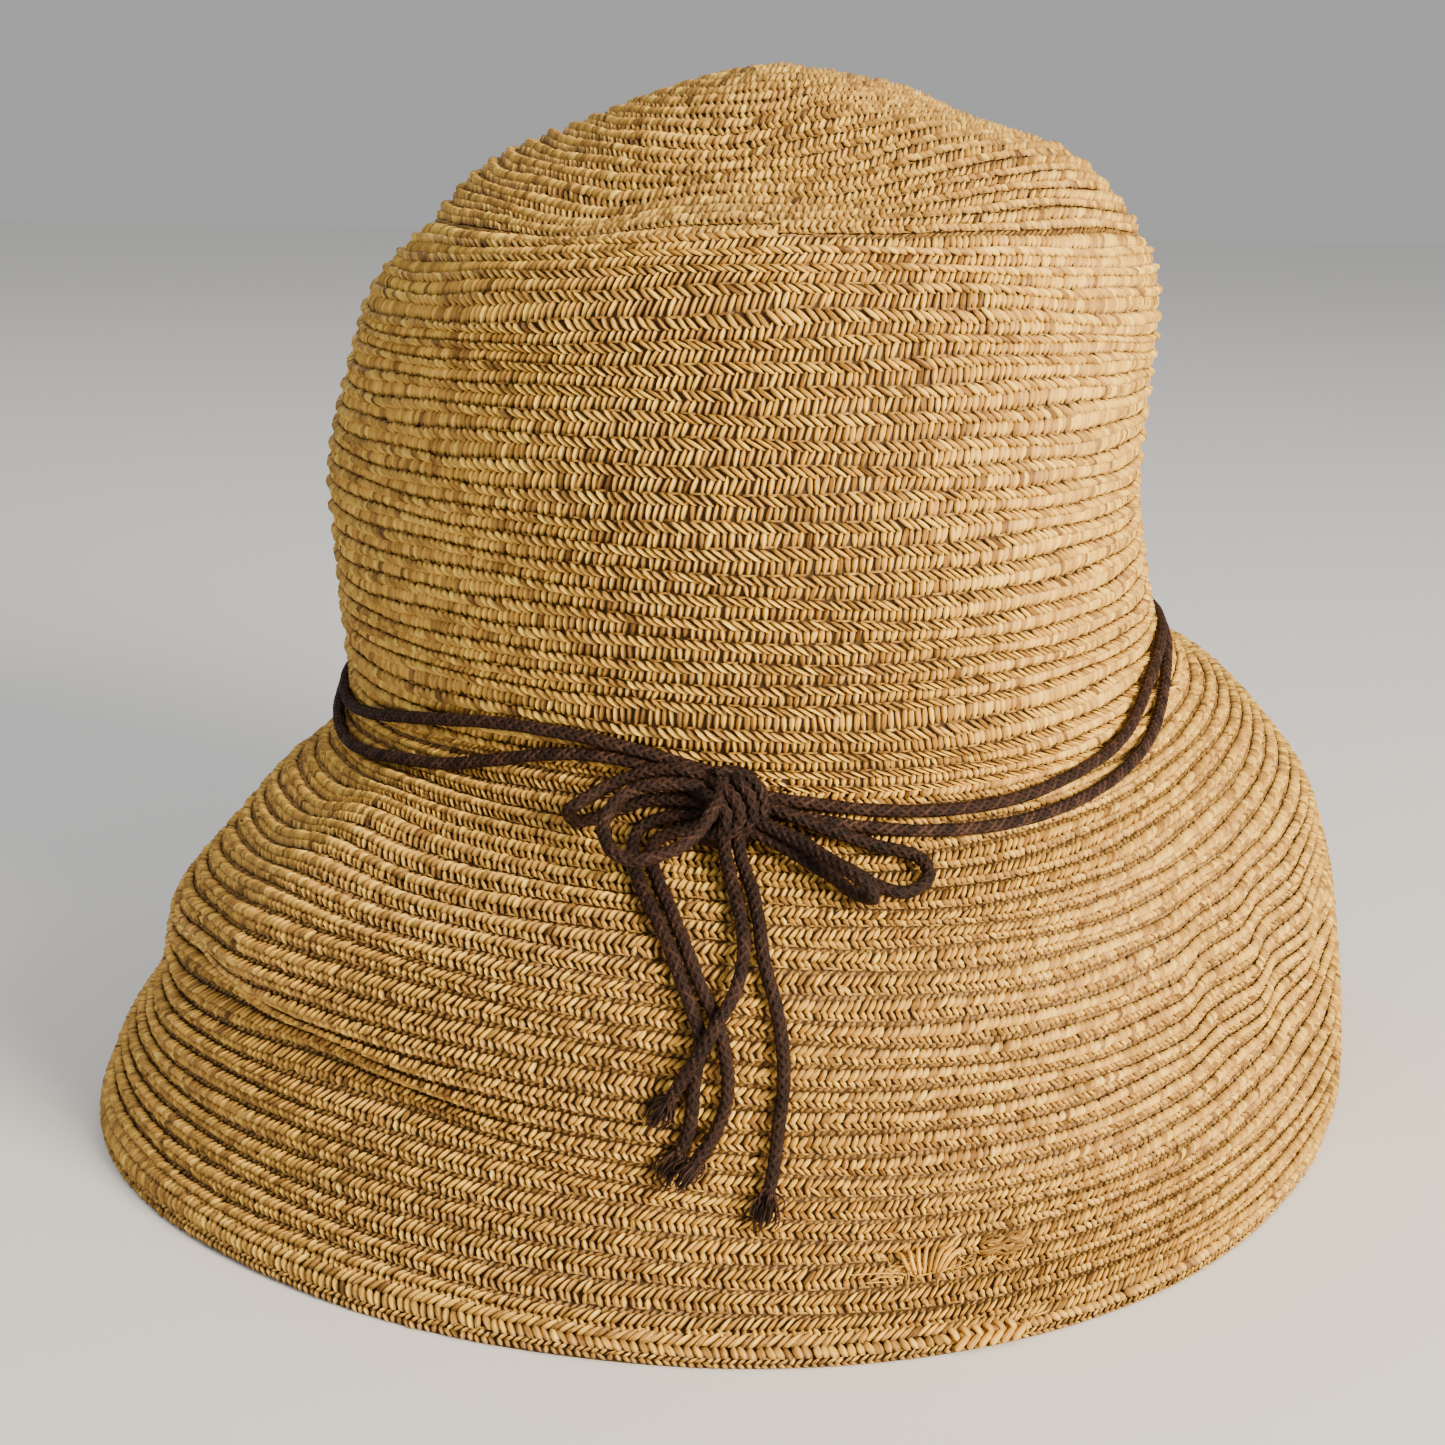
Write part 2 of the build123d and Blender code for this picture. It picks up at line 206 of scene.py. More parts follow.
def mesh_object(name, parts, materials):
    """One object on the hat, of parts (points in mm, faces, material, tone, lift, grain, uv).

    Tone is how light a straw or thread is, lower on the sunken leaves as painted shade; lift is how
    far out of the gaps a point stands, and the straw finishes paint a point darker as shade the
    lower its lift. Grain runs across a straw. Where the parts have no uv it is None."""
    starts = np.cumsum([0] + [len(part[0]) for part in parts])
    points = (np.concatenate([part[0] for part in parts]) + CROWN_MIDDLE) * MM
    quads = np.concatenate([part[1] + start for part, start in zip(parts, starts)])
    mesh = bpy.data.meshes.new(name)
    mesh.vertices.add(len(points))
    mesh.vertices.foreach_set("co", points.astype(np.float32).ravel())
    mesh.loops.add(quads.size)
    mesh.loops.foreach_set("vertex_index", quads.astype(np.int32).ravel())
    mesh.polygons.add(len(quads))
    mesh.polygons.foreach_set("loop_start", np.arange(0, quads.size, 4, dtype=np.int32))
    mesh.polygons.foreach_set("use_smooth", np.ones(len(quads), bool))
    index = np.concatenate([np.full(len(part[1]), part[2]) for part in parts])
    mesh.polygons.foreach_set("material_index", index.astype(np.int32))
    for number, label in ((3, "tone"), (4, "lift"), (5, "grain")):
        values = np.concatenate([np.broadcast_to(part[number], len(part[0])) for part in parts])
        layer = mesh.attributes.new(label, "FLOAT", "POINT")
        layer.data.foreach_set("value", values.astype(np.float32))
    if parts[0][6] is not None:
        uv = np.concatenate([part[6] for part in parts])[quads.ravel()].ravel()
        mesh.uv_layers.new(name="OFBake").uv.foreach_set("vector", uv.astype(np.float32))
    mesh.update(calc_edges=True)
    for material in materials:
        mesh.materials.append(material)
    made = bpy.data.objects.new(name, mesh)
    bpy.context.scene.collection.objects.link(made)
    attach(made, "root")
    return made


def smooth_route(points, spacing):
    """Evenly spaced points of a NURBS spline with these control points, and their run."""
    curve = bpy.data.curves.new("route", "CURVE")
    curve.dimensions = "3D"
    curve.resolution_u = 24
    spline = curve.splines.new("NURBS")
    spline.points.add(len(points) - 1)
    for place, point in zip(spline.points, points):
        place.co = (*point, 1.0)
    spline.order_u = 3
    spline.use_endpoint_u = True
    holder = bpy.data.objects.new("route", curve)
    line = bpy.data.meshes.new_from_object(holder)
    fine = np.array([v.co for v in line.vertices], float)
    bpy.data.objects.remove(holder)
    run = np.concatenate([[0], np.cumsum(np.linalg.norm(np.diff(fine, axis=0), axis=1))])
    count = max(4, round(run[-1] / spacing))
    at = np.linspace(0, run[-1], count + 1)
    return np.stack([np.interp(at, run, fine[:, k]) for k in range(3)], 1), at


def tube_grid(route, radius, sides):
    """Points and faces of a tube along a route, and the two directions across it."""
    along = np.gradient(route, axis=0)
    along /= np.linalg.norm(along, axis=1, keepdims=True)
    side = np.zeros_like(along)
    side[0] = np.cross(along[0], [0.3, 0.2, 1.0])
    for i in range(1, len(route)):
        side[i] = side[i - 1] - along[i] * (side[i - 1] @ along[i])
    side /= np.linalg.norm(side, axis=1, keepdims=True)
    other = np.cross(along, side)
    turn = np.arange(sides) * 2 * math.pi / sides
    cosine, sine = np.cos(turn)[None, :, None], np.sin(turn)[None, :, None]
    ring = cosine * side[:, None] + sine * other[:, None]
    size = np.broadcast_to(np.asarray(radius, float), len(route))
    points = (route[:, None] + ring * size[:, None, None]).reshape(-1, 3)
    return points, grid_faces(len(route), sides, True), side, other


def grid_faces(rows, columns, wrap=False):
    """The faces of a grid of points, joined round where it wraps."""
    row, column = np.meshgrid(np.arange(rows - 1), np.arange(columns - (not wrap)), indexing="ij")
    here = row * columns + column
    after = row * columns + (column + 1) % columns
    return np.stack([here, after, after + columns, here + columns], -1).reshape(-1, 4)


def braided_cord(points, tone_shift=0.0):
    """The parts of a braided cord, and its middle line. The threads cross over a core,
    and every second one winds the other way."""
    route, at = smooth_route(points, 0.6)
    core, faces, side, other = tube_grid(route, CORE_RADIUS, 6)
    # The core is given a dark tone, as painted shade where it shows between the threads.
    parts = [(core, faces, 0, 0.2, 0.0, 0.0, None)]
    for thread in range(THREADS):
        way = 1 if thread % 2 else -1
        turn = way * (at * 2 * math.pi / THREAD_TURN) + thread * 2 * math.pi / THREADS
        weave = THREAD_WEAVE * np.cos(4 * way * turn + way * math.pi / 2)
        reach = (THREAD_REACH + weave)[:, None]
        line = route + reach * (np.cos(turn)[:, None] * side + np.sin(turn)[:, None] * other)
        rope, faces, _, _ = tube_grid(line, THREAD_RADIUS, 4)
        tone = 0.5 + tone_shift + 0.25 * rng.standard_normal()
        parts.append((rope, faces, 0, tone, 1.0, 0.0, None))
    return parts, route


waxed_cotton, tree, shader = new_material("waxed_cotton_cord", 0.7, 0.2)
# Each thread's tone with mottling; the core's low tone in it is painted shade between the threads.
worn_and_shaded = arithmetic(tree, "ADD", attribute(tree, "tone"), noise(tree, 180.0, 4.0))
worn_and_shaded = arithmetic(tree, "MULTIPLY", worn_and_shaded, 0.5)
brown = ramp(tree, worn_and_shaded, ((0.2, "#120a07"), (0.5, "#2e1b12"), (0.85, "#50362a")))
tree.links.new(brown, shader.inputs["Base Color"])
roughen(tree, shader, noise(tree, 2600.0), 0.4, 0.0002)


def cut_end(route):
    """The parts of the unlaid threads at a cord's cut end, in a spreading tuft."""
    way = route[-1] - route[-4]
    way /= np.linalg.norm(way)
    parts = []
    for _ in range(TUFT_THREADS):
        spread = rng.normal(0, 0.26, 3)
        root = route[-1] + rng.normal(0, 0.45, 3) - way * 1.4
        steps = np.linspace(0, 1, 6)[:, None]
        reach = TUFT_LENGTH * rng.uniform(0.6, 1.1)
        line = root + way * steps * reach + spread * np.sin(steps * 2.2) * reach
        thread, faces, _, _ = tube_grid(line, np.linspace(0.26, 0.14, 6), 4)
        parts.append((thread, faces, 0, rng.uniform(0.2, 0.9), 1.0, 0.0, None))
    return parts


for name, points in {**LOOPS, **TAILS}.items():
    parts, route = braided_cord(points)
    cord = mesh_object(name + "_cord", parts, [waxed_cotton])
    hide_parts(name)
    if name in TAILS:
        fray = name.replace("cord_tail", "tail_fray")
        threads = mesh_object(fray + "_threads", cut_end(route), [waxed_cotton])
        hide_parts(fray)

# ---- the shape of the hat ------------------------------------------------------------
# The block that the braid is sewn over, as rings from the hem to the button: height,
# radius, centre, oval and its turn, egg and its turn, tilt, saddle and its turn, and
# the back's fullness, lift and turn. Lengths are in mm and turns in degrees. ROWS says at
# which row of the braid each ring lies, counted from the row where crown and brim meet.
ROWS = (-26, -22, -18, -14, -10, -6, -3, 0, 4, 12, 20, 24, 28, 31, 34, 37, 40, 42)
RINGS = np.array([
    (0.0, 135.0, -3.5, 2.0, 8.5, 46, 4.5, 50, 0.0, 0.0, 0.0, 0, 6, 0, 125),
    (13.5, 129.5, 1.5, 7.0, 13.0, 40, 5.5, 50, 0.0, 1.5, 3.5, 40, 12, 3, 125),
    (27.5, 122.0, 4.5, 7.0, 17.5, 40, 5.5, 50, 1.0, 1.0, 6.5, 40, 19, 5, 125),
    (43.0, 118.0, 4.0, 3.5, 18.0, 41, 4.5, 50, 1.0, 0.5, 7.0, 40, 20, 6, 125),
    (57.5, 111.0, 6.0, -0.5, 17.5, 43, 4.5, 50, 1.5, -1.0, 7.0, 43, 19, 6, 125),
    (71.0, 103.0, 6.0, 2.0, 13.0, 45, 4.0, 48, 2.0, 0.5, 4.5, 43, 13, 4, 125),
    (80.0, 96.0, 5.5, 6.5, 10.0, 48, 3.0, 46, 2.5, 3.0, 3.0, 47, 9, 2, 125),
    (89.5, 90.0, 2.5, 7.5, 7.0, 50, 3.0, 45, 0.5, 3.0, 1.5, 62, 4, 0, 125),
    (103.5, 85.5, -2.0, 1.0, 5.0, 50, 3.0, 45, -1.0, 1.0, 1.0, 85, 4, 0, 125),
    (135.5, 84.0, -6.0, -2.0, 1.5, 60, 3.5, 43, -1.0, 0.5, 1.0, -75, 0, 0, 90),
    (168.5, 78.5, -4.5, -3.5, 1.0, 0, 0.5, 0, -0.5, -0.5, 2.0, -70, 0, 0, 90),
    (183.0, 71.0, -1.5, -5.5, 1.5, 10, 1.5, 5, 0.5, -1.5, 1.5, -70, 2, 2, 90),
    (190.5, 57.5, -0.5, -6.5, 3.0, 0, 1.0, 0, 0.5, -5.5, 5.0, -20, 4, 10, 90),
    (195.5, 46.0, -1.0, -7.0, 2.5, 0, 1.0, 0, -0.5, -7.0, 5.5, -20, 2, 12, 90),
    (202.0, 35.5, -1.0, -6.0, 1.5, 0, 1.0, 0, -0.5, -6.0, 3.0, -20, 0, 9, 90),
    (207.0, 25.0, -0.5, -6.0, 1.0, 0, 1.0, 0, 0.0, -5.5, 1.5, -20, 0, 6, 90),
    (212.0, 13.0, 0.0, -5.0, 0.0, 0, 0.0, 0, 0.0, -2.5, 0.0, 0, 0, 1, 90),
    (214.0, 4.0, 0.0, -4.0, 0.0, 0, 0.0, 0, 0.0, 0.0, 0.0, 0, 0, 0, 90),
])
# Dents and folds that wear has put in: (row, degrees), (rows wide, degrees wide), mm out.
FOLDS = (
    ((-7, 222), (4.6, 7.0), 3.4), ((-12.5, 219), (2.5, 6.0), 2.6), ((-6, 206), (4.0, 7.0), -1.4),
    ((-14.8, 207), (1.0, 6.0), -3.6), ((-15.4, 217), (1.1, 7.0), -4.4),
    ((-16.4, 228), (1.1, 7.0), -4.2), ((-17.5, 237), (1.0, 7.0), -3.0),
    ((-13.0, 206), (1.2, 5.0), 2.2), ((-18.6, 208), (1.8, 9.0), 2.2),
    ((-19.4, 224), (1.6, 12.0), 1.6),
    ((-13, 318), (5.0, 4.0), 1.1), ((-13, 327), (5.0, 3.6), -1.3),
    ((-14, 335), (5.0, 3.4), 1.3), ((-14, 343), (5.0, 3.4), -1.4),
    ((-15, 351), (4.5, 3.4), 1.3), ((-17, 358), (1.2, 4.0), -2.0),
    ((26.5, 236), (2.6, 14.0), -2.5), ((27.5, 285), (3.0, 20.0), -2.5),
    ((20, 215), (3.0, 10.0), -1.2), ((14, 232), (4.0, 12.0), 0.8),
    ((22, 318), (2.5, 12.0), -1.0), ((8, 300), (5.0, 16.0), 0.8),
)
FRONT = 1.5 * math.pi
HEM_LIFT = 0.05


def ring_points(index, turn):
    """Points of the rings of these numbers at these turns."""
    rad = np.radians
    (z, radius, cx, cy, oval, oval_at, egg, egg_at, tilt_x, tilt_y,
     saddle, saddle_at, out, lift, back_at) = RINGS[np.clip(index, 0, len(RINGS) - 1)].T
    behind = np.maximum(0, np.cos(turn - rad(back_at))) ** 4
    reach = radius + oval * np.cos(2 * (turn - rad(oval_at))) + out * behind
    reach = reach + egg * np.cos(3 * (turn - rad(egg_at)))
    z = z + tilt_x * np.cos(turn) + tilt_y * np.sin(turn) + lift * behind
    z = z + saddle * np.cos(2 * (turn - rad(saddle_at)))
    return np.stack([cx + reach * np.cos(turn), cy + reach * np.sin(turn), z], -1)


def block_point(row, turn):
    """Points of the smooth block at these rows and turns, by a spline through the rings."""
    level = np.interp(row, ROWS, np.arange(len(ROWS)))
    index = np.minimum(level.astype(int), len(ROWS) - 2)
    t = (level - index)[:, None]
    p0, p1, p2, p3 = (ring_points(index + step, turn) for step in (-1, 0, 1, 2))
    first, last = (index == 0)[:, None], (index == len(ROWS) - 2)[:, None]
    p0 = np.where(first, 2 * p1 - p2, p0)
    p3 = np.where(last, 2 * p2 - p1, p3)
    bend = (p2 - p0) * t + (2 * p0 - 5 * p1 + 4 * p2 - p3) * t**2
    return p1 + (bend + (3 * p1 - p0 - 3 * p2 + p3) * t**3) * 0.5


def hat_point(row, turn, out):
    """Points this far out from the hat's face, folds included. The rows wander a little,
    the wall ripples, and both end flat at the hem, which stays above the floor."""
    row, turn, out = np.broadcast_arrays(row, turn, out)
    row = row + 0.10 * np.sin(3 * turn + 0.9 * row) + 0.05 * np.sin(11 * turn + 2.1 * row)
    here = block_point(row, turn)
    aside = block_point(row, turn + 0.002) - block_point(row, turn - 0.002)
    up = block_point(row + 0.2, turn) - block_point(row - 0.2, turn)
    normal = np.cross(aside, up)
    normal /= np.linalg.norm(normal, axis=1, keepdims=True)
    degrees = np.degrees(turn)
    relief = 0.25 * np.sin(5 * turn + 0.4 * row) + 0.2 * np.sin(9 * turn - 0.7 * row)
    for (fold_row, fold_turn), (rows_wide, turn_wide), height in FOLDS:
        away = (degrees - fold_turn + 180) % 360 - 180
        fall = -(((row - fold_row) / rows_wide) ** 2) - (away / turn_wide) ** 2
        relief = relief + height * np.exp(fall)
    relief = relief * np.clip((row - ROWS[0]) / 3, 0, 1)
    made = here + normal * (out + relief)[:, None]
    made[:, 2] = np.maximum(made[:, 2], HEM_LIFT)
    return made


# ---- straw ---------------------------------------------------------------------------
# Split and flattened straw, light where it stands proud and darkened to brown with painted shade in
# the gaps.


def straw_material(name, painted_gap_shade, roughness):
    """Straw of mixed tones with fibres along it, darkened with painted shade where it lies deep in
    a gap.
    """
    made, tree, shader = new_material(name, roughness, 0.3)
    flecks = noise(tree, 900.0, 3.0)
    fibres = arithmetic(tree, "COSINE", arithmetic(tree, "MULTIPLY", attribute(tree, "grain"), 5.2))
    stained = arithmetic(tree, "ADD", noise(tree, 60.0, 5.0), flecks)
    toned = arithmetic(tree, "MULTIPLY_ADD", stained, 0.30, -0.30)
    toned = arithmetic(tree, "ADD", attribute(tree, "tone"), toned)
    toned = arithmetic(tree, "MULTIPLY_ADD", fibres, 0.10, toned)
    dry = ramp(tree, toned, (
        (0.0, "#6e4a20"), (1.0, "#ffd766"), (0.25, "#a37836"), (0.5, "#cf9d49"), (0.75, "#f2c055"),
    ))
    # Painted shade: the lower a point's lift, the nearer its colour comes to the painted gap shade.
    inputs = {"Value": attribute(tree, "lift"), "From Min": 0.02, "From Max": 0.62}
    shade = add_node(tree, "ShaderNodeMapRange", inputs).outputs[0]
    inputs = {0: shade, 6: colour(painted_gap_shade), 7: dry}
    mix = add_node(tree, "ShaderNodeMix", inputs, data_type="RGBA")
    tree.links.new(mix.outputs[2], shader.inputs["Base Color"])
    roughen(tree, shader, arithmetic(tree, "MULTIPLY_ADD", fibres, 0.5, flecks), 0.5, 0.0002)
    return made


# The leaves, the braid's body behind them and the stitches, each with its own painted gap shade.
straw = straw_material("bleached_straw_painted_shade", "#624622", 0.5)
under_straw = straw_material("shaded_straw", "#3d2812", 0.7)
cotton_stitch = straw_material("cotton_stitches", "#6a4a20", 0.6)
STRAW_FINISHES = [straw, under_straw, cotton_stitch]


def leaf(size, lean, low, high, across=3, along=4):
    """One visible turn of a straw, a pillow of (mm along, rows across, mm out, lift, grain).

    Its edges and ends tuck down to low, its middle stands up to high, and it leans over by lean at
    each end. Its lift falls towards its edges and ends, where the straw finishes paint it darker as
    shade."""
    u, v = np.meshgrid(np.linspace(-1, 1, across), np.linspace(-1, 1, along), indexing="ij")
    narrow = 1 - 0.4 * v**4
    rise = (1 - np.abs(u) ** 1.6) * (1 - 0.7 * v**4)
    points = [size[0] * u * narrow + lean * v, size[1] * v, low + (high - low) * rise, rise, u]
    return np.stack(points, -1).reshape(-1, 5), grid_faces(across, along)


# The leaves of one braid, each with its centre row, how light it is painted, the mm from one leaf
# to the next, and its shape. A crown row is a ladder of rungs above one proud slanting rope, and a
# brim row is a rope of two legs above a sunken third one, painted darker as shade.
CROWN_TILE = (
    (0.71, 1.15, 1.35, leaf((0.52, 0.34), 0.34, 0.0, 1.15)),
    (0.14, 1.18, 1.75, leaf((0.68, 0.22), -1.30, 0.55, 1.90)),
)
BRIM_TILE = (
    (0.87, 1.08, 1.4, leaf((0.62, 0.24), 0.62, 0.50, 1.85)),
    (0.50, 1.00, 1.4, leaf((0.62, 0.20), -0.55, 0.25, 1.40, along=3)),
    (0.18, 0.62, 1.4, leaf((0.60, 0.14), 0.30, -0.2, 0.50, along=3)),
)
STITCH = leaf((2.1, 0.04), 0.0, 0.2, 1.05, 5, 2)
STITCH_LIGHT = 0.9
STITCH_STEP = 4.6
# The braid's body lies behind the leaves, between these two depths in mm, and is painted dark as
# the shade in the gaps between them.
BACKING_FACE, BACKING_BACK = -0.25, -2.0
BACKING_STEPS = 180


def course(turns, level):
    """A line that braid is sewn along: turns from the front, rows, and the run in mm."""
    line = hat_point(level, FRONT + 2 * math.pi * turns, 0.0)
    steps = np.linalg.norm(np.diff(line, axis=0), axis=1)
    return turns, level, np.concatenate([[0], np.cumsum(steps)])


def sew(tile, line, rows, seam, lift=0.0):
    """The parts of the braid that lies between two rows of a course, with its stitches."""
    turns, level, run = line
    pace = np.gradient(run, turns)
    spread = rows[1] - rows[0]
    parts = []
    layers = [(*layer, 0) for layer in tile]
    layers.append((seam, STITCH_LIGHT, STITCH_STEP, STITCH, 2))
    for centre, light, step, (shape, faces), finish in layers:
        whole = round(run[-1] / step)
        places = (np.arange(whole) + 0.5) * run[-1] / whole
        first, last = np.interp(rows, level, run) if level[-1] > level[0] else (0, run[-1])
        places = places[(places >= first) & (places < last)]
        count = len(places)
        u = places + rng.normal(0, 0.08, count)
        here = np.interp(u, run, turns)
        speed = np.interp(u, run, pace)
        row = np.interp(u, run, level) + centre + rng.normal(0, 0.02, count)
        local = np.repeat(shape[None], count, 0)
        # Towards the left of the crown, and near its top, the straws widen and close up,
        # and the sunken ones lean over.
        angle = (here % 1) * 360 - 360
        leftward = np.clip((-angle - 15) / 40, 0, 1) * np.clip((angle + 130) / 30, 0, 1)
        closing = np.clip(leftward + np.clip((row - 20) / 4, 0, 1), 0, 1) * (row > 0)
        sunken = shape[0, 2] < 0
        slant = 0.55 * closing * sunken + rng.normal(0, 0.14, count)
        sideways = local[..., 0] * rng.normal(1 + 0.15 * closing, 0.09, count)[:, None]
        sideways += slant[:, None] * local[..., 1] / max(shape[:, 1].max(), 0.1)
        out = local[..., 2] + rng.normal(0, 0.08, count)[:, None] + lift
        around = here[:, None] + sideways / speed[:, None]
        across = row[:, None] + local[..., 1]
        points = hat_point(across.ravel(), FRONT + 2 * math.pi * around.ravel(), out.ravel())
        quads = (faces[None] + (np.arange(count) * len(shape))[:, None, None]).reshape(-1, 4)
        # Each layer's light figure scales its tone and lift, so the sunken leaves carry painted
        # shade, and lift falls towards each leaf's edges, where it is painted darker as shade.
        tone = np.clip(rng.normal(0.52, 0.17, count) * light, 0, 1.1)
        shade = np.clip((local[..., 3] * 0.85 + 0.15) * light, 0, 1)
        u_map = (here % 1)[:, None] + around - here[:, None]
        v_map = (across - rows[0] + 0.3) / (spread + 0.6) * 0.7
        uv = np.stack([u_map, v_map], -1).reshape(-1, 2)
        grain = (local[..., 4] + rng.uniform(-1, 1, count)[:, None]).ravel()
        parts.append((points, quads, finish, np.repeat(tone, len(shape)), shade.ravel(), grain, uv))
    return parts


def backing(rows):
    """The parts of the braid's body behind its leaves, closed along both edges."""
    count = max(2, int((rows[1] - rows[0]) * 2) + 1)
    up = np.linspace(rows[0], rows[1], count)
    level = np.concatenate([up, up[::-1], up[:1]])
    face, back = np.full(count, BACKING_FACE), np.full(count, BACKING_BACK)
    depth = np.concatenate([face, back, face[:1]])
    turn = np.linspace(0, 2 * math.pi, BACKING_STEPS + 1)
    grid_turn, grid_row = np.meshgrid(turn, level, indexing="ij")
    grid_depth = np.broadcast_to(depth, grid_row.shape)
    points = hat_point(grid_row.ravel(), grid_turn.ravel(), grid_depth.ravel())
    faces = grid_faces(BACKING_STEPS + 1, len(level))
    v_map = 0.72 + 0.27 * np.arange(len(level)) / len(level)
    uv = np.stack([grid_turn / (2 * math.pi), np.broadcast_to(v_map, grid_row.shape)], -1)
    # Its face towards the leaves is painted near the darkest brown as painted shade in the gaps,
    # and its back is painted lighter.
    shade = np.where(grid_depth.ravel() > -1, 0.05, 0.6)
    return [(points, faces, 1, 0.35, shade, 0.0, uv.reshape(-1, 2))]


# ---- crown and brim braid ------------------------------------------------------------
# One long braid sewn on in a spiral from under the hem to the button. On the crown each
# row's lower edge laps over the next, and on the brim its upper edge laps the row inside.
# A spiral rises by one row in one turn. Each length has its two rows, its leaves, and how
# far above a row's middle its stitches lie.
HEM_TOP = -24.6
spiral_turns = np.arange(-25.6, 41.6, 1 / 360)
SPIRAL = course(spiral_turns, spiral_turns)
LENGTHS = {
    "crown_button": (40.0, 41.5, BRIM_TILE, 0.34),
    "crown_tip_braid": (24.0, 40.0, BRIM_TILE, 0.34),
    "crown_upper_braid": (12.0, 24.0, CROWN_TILE, 0.37),
    "crown_lower_braid": (0.0, 12.0, CROWN_TILE, 0.37),
    "brim_inner_braid": (-10.0, 0.0, BRIM_TILE, 0.34),
    "brim_middle_braid": (-18.0, -10.0, BRIM_TILE, 0.34),
    "brim_outer_braid": (-25.6, -18.0, BRIM_TILE, 0.34),
}
# The coil at the crown's peak: its middle, its radius, its rings and the mm between leaves.
PEAK = np.array([0.0, -4.0, 214.7])
PEAK_RADIUS = 5.0
PEAK_RINGS = (3.9, 2.4, 1.0)
PEAK_STEP = 1.2


def dome(radius):
    """How high the peak's small dome stands at a radius."""
    return 0.8 - radius**2 * 0.04


def about_peak(radius, turn, rise):
    """Points at a radius and turn about the crown's peak, and this far above it."""
    return PEAK + np.stack([radius * np.cos(turn), radius * np.sin(turn), rise], -1)


def crown_peak():
    """The parts of the tight coil that closes the crown's peak, over a small dome."""
    reach, around = np.linspace(PEAK_RADIUS, 0.0, 5), np.linspace(0, 2 * math.pi, 25)
    radius, turn = np.meshgrid(reach, around, indexing="ij")
    points = about_peak(radius, turn, dome(radius)).reshape(-1, 3)
    uv = np.stack([turn / (2 * math.pi), 0.72 + radius * 0.005], -1).reshape(-1, 2)
    # The dome is painted in the dark finish of the braid's body, as painted shade between the
    # leaves of the coil.
    parts = [(points, grid_faces(5, 25), 1, 0.4, 0.3, 0.0, uv)]
    shape, faces = leaf((0.60, 0.85), 0.5, 0.1, 1.0)
    for ring in PEAK_RINGS:
        count = round(2 * math.pi * ring / PEAK_STEP)
        for i in range(count):
            around = 2 * math.pi * i / count + shape[:, 0] / ring
            points = about_peak(ring + shape[:, 1], around, shape[:, 2] + dome(ring))
            uv = np.stack([around / (2 * math.pi) % 1, 0.6 + shape[:, 1] * 0.05], -1)
            tone = rng.uniform(0.3, 0.75)
            parts.append((points, faces, 0, tone, shape[:, 3] * 0.85 + 0.15, shape[:, 4], uv))
    return parts


for name, (low, high, tile, seam) in LENGTHS.items():
    parts = sew(tile, SPIRAL, (low, high), seam) + backing((max(low, HEM_TOP), high))
    if name == "crown_button":
        parts += crown_peak()
    braid = mesh_object(name + "_plait", parts, STRAW_FINISHES)
    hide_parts(name)

# ---- brim edge -----------------------------------------------------------------------
# The last row is flattened and folded over the wire, with a narrow row along its rim.
HEM_TILE = (
    (0.29, 1.05, 1.55, leaf((0.80, 0.26), 0.80, 0.4, 1.45)),
    (-0.21, 1.00, 1.55, leaf((0.80, 0.26), -0.80, 0.4, 1.45)),
)
RIM_TILE = (
    (0.11, 1.00, 1.4, leaf((0.58, 0.13), 0.45, 0.2, 1.0, along=3)),
    (-0.12, 0.85, 1.4, leaf((0.58, 0.13), -0.45, 0.2, 1.0, along=3)),
)
HEM_ROWS = (-26.0, HEM_TOP)
HEM_ROW, RIM_ROW = -25.1, -25.75
once_round = np.linspace(0, 1, 361)
hem_line = course(once_round, np.full(len(once_round), HEM_ROW))
rim_line = course(once_round, np.full(len(once_round), RIM_ROW))
parts = sew(HEM_TILE, hem_line, HEM_ROWS, 0.58, 0.4)
parts += sew(RIM_TILE, rim_line, HEM_ROWS, 0.26, 0.1)
hem = mesh_object("brim_edge_plait", parts + backing(HEM_ROWS), STRAW_FINISHES)
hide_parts("brim_edge_braid")

# ---- splices and the braid's end -----------------------------------------------------
# Where one length of braid was joined to the next, the straw ends stand out: eight in an
# upright fan, and beside it nine in a crumpled bundle. The braid's last end is stitched
# down over the hem. Places are degrees round the hat, rows of braid and mm out.
RIM_LIMIT, FACE_LIMIT = -25.8, 0.9
FAN_FOOT, FAN_ROW = 280.2, -22.35
BUNDLE_FOOT, BUNDLE_ROW = 286.2, -21.9
LAST_FOOT = 284.9


def straw_end(stops, radius, tone):
    """The part of one loose straw along stops of (degrees, row, mm out)."""
    degrees, row, out = np.array(stops, float).T
    line = hat_point(row, np.radians(degrees), out)
    route, at = smooth_route(line, 0.5)
    size = radius * np.clip(1.15 - np.abs(at / at[-1] * 2 - 1) ** 4 * 0.6, 0.3, 1)
    points, faces, _, _ = tube_grid(route, size, 6)
    grain = np.tile(np.linspace(-1, 1, 6), len(route))
    return points, faces, 0, tone, 0.95, grain, None


def stray_fibres(count, middle, spread, reach):
    """The parts of fine torn fibres about a middle of (degrees, row, mm out)."""
    parts = []
    for _ in range(count):
        start = np.array(middle) + rng.normal(0, 1, 3) * spread
        way = rng.normal(0, 1, 3) * reach
        bend = rng.normal(0, 0.25, 3) * reach
        stops = [start, start + way * 0.5 + bend, start + way]
        stops = [(turn, max(row, RIM_LIMIT), max(out, FACE_LIMIT)) for turn, row, out in stops]
        parts.append(straw_end(stops, rng.uniform(0.08, 0.16), rng.uniform(0.3, 0.9)))
    return parts


